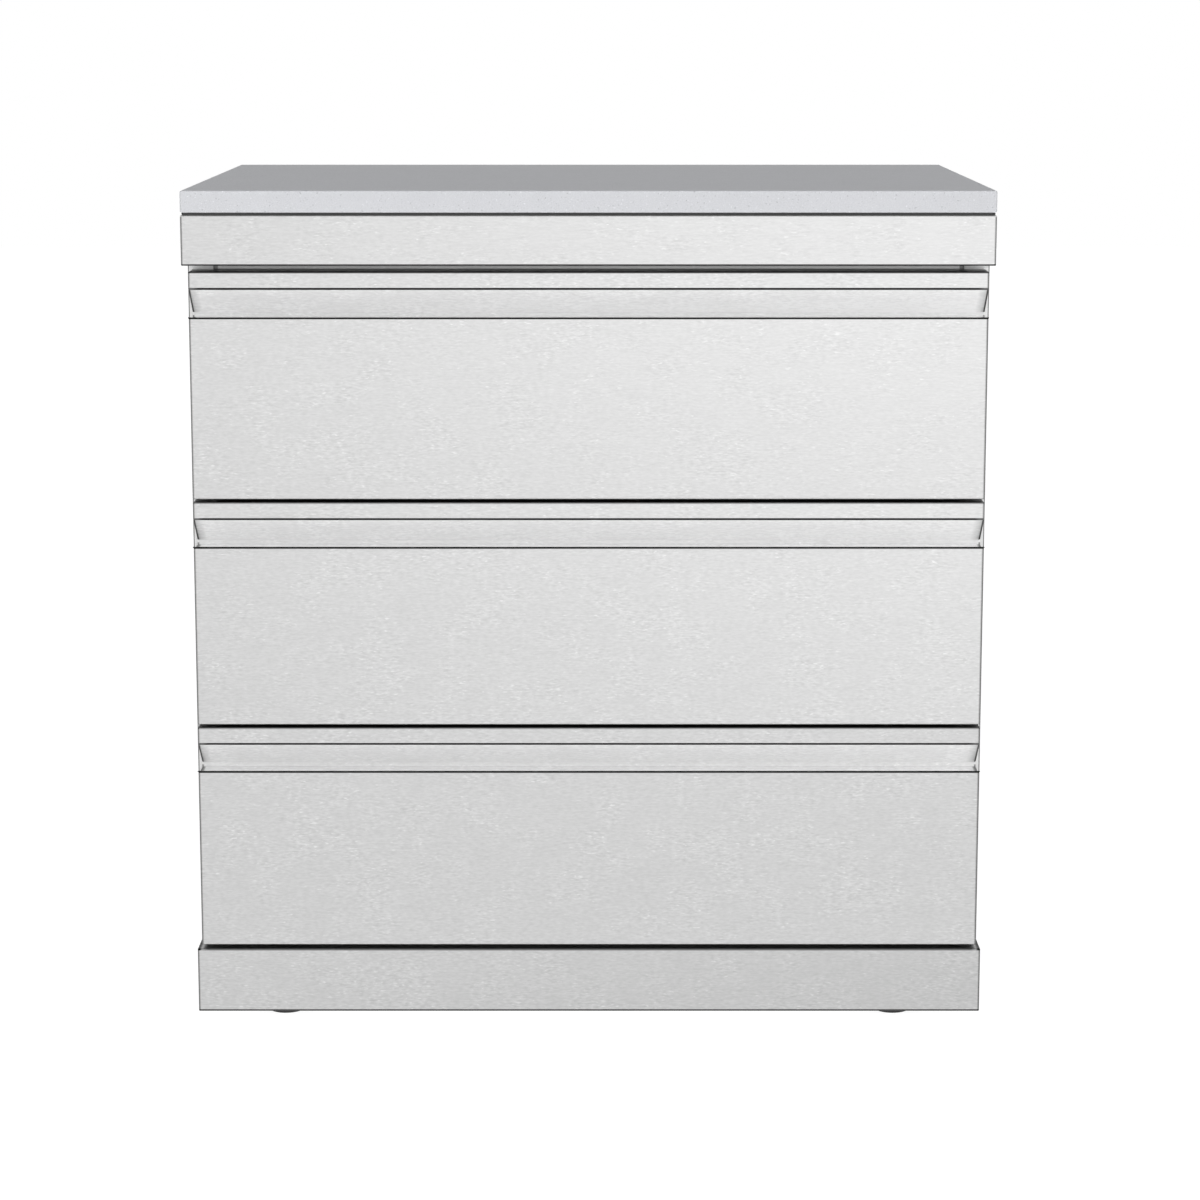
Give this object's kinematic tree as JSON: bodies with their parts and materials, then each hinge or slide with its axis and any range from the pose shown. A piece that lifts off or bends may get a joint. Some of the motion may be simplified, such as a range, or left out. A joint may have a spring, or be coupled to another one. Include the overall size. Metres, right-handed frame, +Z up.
{
  "type": "outdoor kitchen drawer unit",
  "caption": "Free-standing outdoor kitchen base unit: stone worktop over stacked full-width drawers with folded wedge grips, on a plinth with levelling feet.",
  "frame": {"origin": "on the ground, under the middle of the unit", "axes": "+X to the right of someone facing the drawers, the drawer fronts face -Y, +Z up"},
  "size_m": [0.865, 0.613, 0.915],
  "materials": {
    "slab": "fine-grained, honed",
    "brushed": "brushed along the width",
    "plain_steel": "mill finish",
    "zinc": "zinc plated",
    "black_rubber": "matte",
    "black_plastic": "moulded, fine grain"
  },
  "bodies": {
    "cabinet": {"countertop_slab": "slab", "slab_seal": "black_rubber", "fascia_front": "brushed", "top_rail_front": "brushed", "side_panel_left": "brushed", "side_panel_right": "brushed", "side_liner_left": "plain_steel", "side_liner_right": "plain_steel", "back_panel": "brushed", "bottom_panel": "plain_steel", "plinth_front": "brushed", "plinth_back": "plain_steel", "plinth_left": "brushed", "plinth_right": "brushed", "foot_rail_left": "plain_steel", "foot_rail_right": "plain_steel", "carcass_screws": "zinc", "drawer_bumpers": "black_rubber", "slide_outer_1": "zinc", "slide_outer_2": "zinc", "slide_outer_3": "zinc"},
    "drawer_1": {"drawer_front_1": "brushed", "drawer_plate_1": "plain_steel", "drawer_side_left_1": "plain_steel", "drawer_side_right_1": "plain_steel", "drawer_base_1": "plain_steel", "drawer_back_1": "plain_steel", "drawer_screws_1": "zinc", "slide_inner_1": "zinc"},
    "slide_carriage_1": {"slide_middle_1": "zinc", "slide_bearings_1": "zinc"},
    "drawer_2": {"drawer_front_2": "brushed", "drawer_plate_2": "plain_steel", "drawer_side_left_2": "plain_steel", "drawer_side_right_2": "plain_steel", "drawer_base_2": "plain_steel", "drawer_back_2": "plain_steel", "drawer_screws_2": "zinc", "slide_inner_2": "zinc"},
    "slide_carriage_2": {"slide_middle_2": "zinc", "slide_bearings_2": "zinc"},
    "drawer_3": {"drawer_front_3": "brushed", "drawer_plate_3": "plain_steel", "drawer_side_left_3": "plain_steel", "drawer_side_right_3": "plain_steel", "drawer_base_3": "plain_steel", "drawer_back_3": "plain_steel", "drawer_screws_3": "zinc", "slide_inner_3": "zinc"},
    "slide_carriage_3": {"slide_middle_3": "zinc", "slide_bearings_3": "zinc"},
    "foot_front_left": {"foot_pad_front_left": "black_plastic", "foot_stem_front_left": "zinc"},
    "foot_front_right": {"foot_pad_front_right": "black_plastic", "foot_stem_front_right": "zinc"},
    "foot_back_left": {"foot_pad_back_left": "black_plastic", "foot_stem_back_left": "zinc"},
    "foot_back_right": {"foot_pad_back_right": "black_plastic", "foot_stem_back_right": "zinc"}
  },
  "joints": [
    {"name": "drawer_1_slide", "type": "slide", "parent": "cabinet", "child": "drawer_1", "axis": [0, -1, 0], "range_m": [0, 0.5]},
    {"name": "carriage_1_slide", "type": "slide", "parent": "cabinet", "child": "slide_carriage_1", "axis": [0, -1, 0], "range_m": [0, 0.25]},
    {"name": "drawer_2_slide", "type": "slide", "parent": "cabinet", "child": "drawer_2", "axis": [0, -1, 0], "range_m": [0, 0.5]},
    {"name": "carriage_2_slide", "type": "slide", "parent": "cabinet", "child": "slide_carriage_2", "axis": [0, -1, 0], "range_m": [0, 0.25]},
    {"name": "drawer_3_slide", "type": "slide", "parent": "cabinet", "child": "drawer_3", "axis": [0, -1, 0], "range_m": [0, 0.5]},
    {"name": "carriage_3_slide", "type": "slide", "parent": "cabinet", "child": "slide_carriage_3", "axis": [0, -1, 0], "range_m": [0, 0.25]},
    {"name": "foot_front_left_height", "type": "slide", "parent": "cabinet", "child": "foot_front_left", "axis": [0, 0, -1], "range_m": [-0.009, 0.025]},
    {"name": "foot_front_right_height", "type": "slide", "parent": "cabinet", "child": "foot_front_right", "axis": [0, 0, -1], "range_m": [-0.009, 0.025]},
    {"name": "foot_back_left_height", "type": "slide", "parent": "cabinet", "child": "foot_back_left", "axis": [0, 0, -1], "range_m": [-0.009, 0.025]},
    {"name": "foot_back_right_height", "type": "slide", "parent": "cabinet", "child": "foot_back_right", "axis": [0, 0, -1], "range_m": [-0.009, 0.025]}
  ],
  "couplings": [
    {"joint": "carriage_1_slide", "follows": "drawer_1_slide", "ratio": 0.5},
    {"joint": "carriage_2_slide", "follows": "drawer_2_slide", "ratio": 0.5},
    {"joint": "carriage_3_slide", "follows": "drawer_3_slide", "ratio": 0.5}
  ]
}
